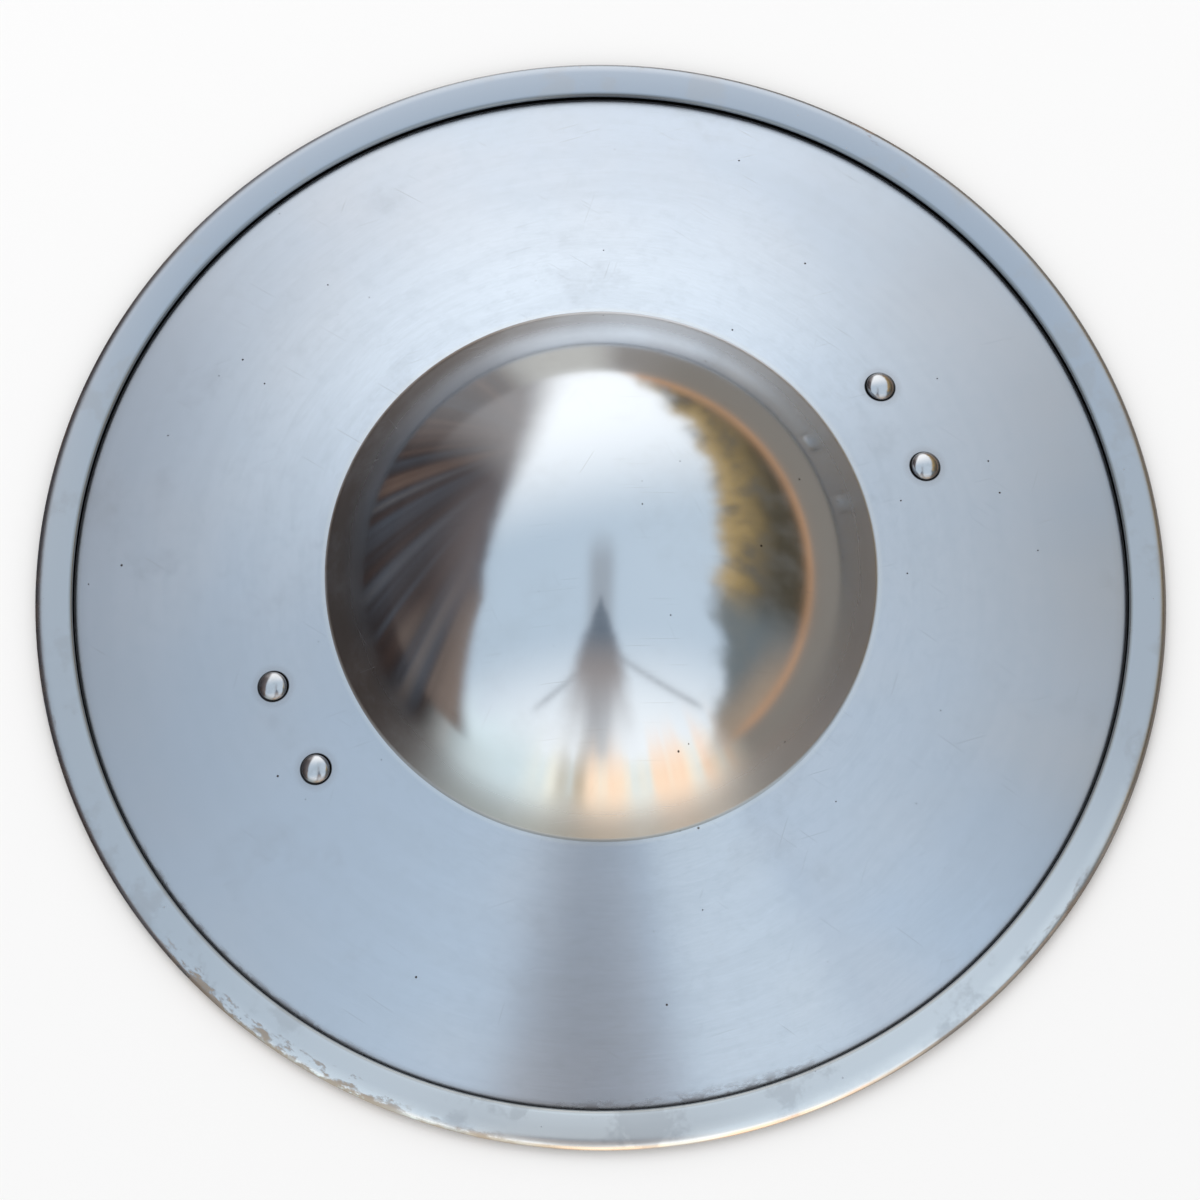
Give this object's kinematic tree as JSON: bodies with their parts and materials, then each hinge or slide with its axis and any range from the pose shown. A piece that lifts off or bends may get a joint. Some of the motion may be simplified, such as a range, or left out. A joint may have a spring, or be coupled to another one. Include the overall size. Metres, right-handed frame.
{
  "type": "buckler shield",
  "caption": "Small round steel shield: a dished plate with a domed boss, a folded rim and a strap grip riveted across the hollow behind.",
  "frame": {"origin": "middle of the ring that the rim's underside rests on, when the shield lies face up", "axes": "+Z out of the front through the top of the boss, X along the grip"},
  "size_m": [0.3, 0.3, 0.0618],
  "materials": {
    "shield_steel": "finely brushed plate, polished boss, light handling marks and a few brown stains on the rim",
    "grip_steel": "plain satin strap, a little darker than the front",
    "rivet_steel": "smooth domed heads, hammered tails"
  },
  "bodies": {
    "root": {"shield_body": "shield_steel", "hand_grip": "grip_steel", "grip_rivet_1": "rivet_steel", "grip_rivet_2": "rivet_steel", "grip_rivet_3": "rivet_steel", "grip_rivet_4": "rivet_steel"}
  },
  "joints": []
}
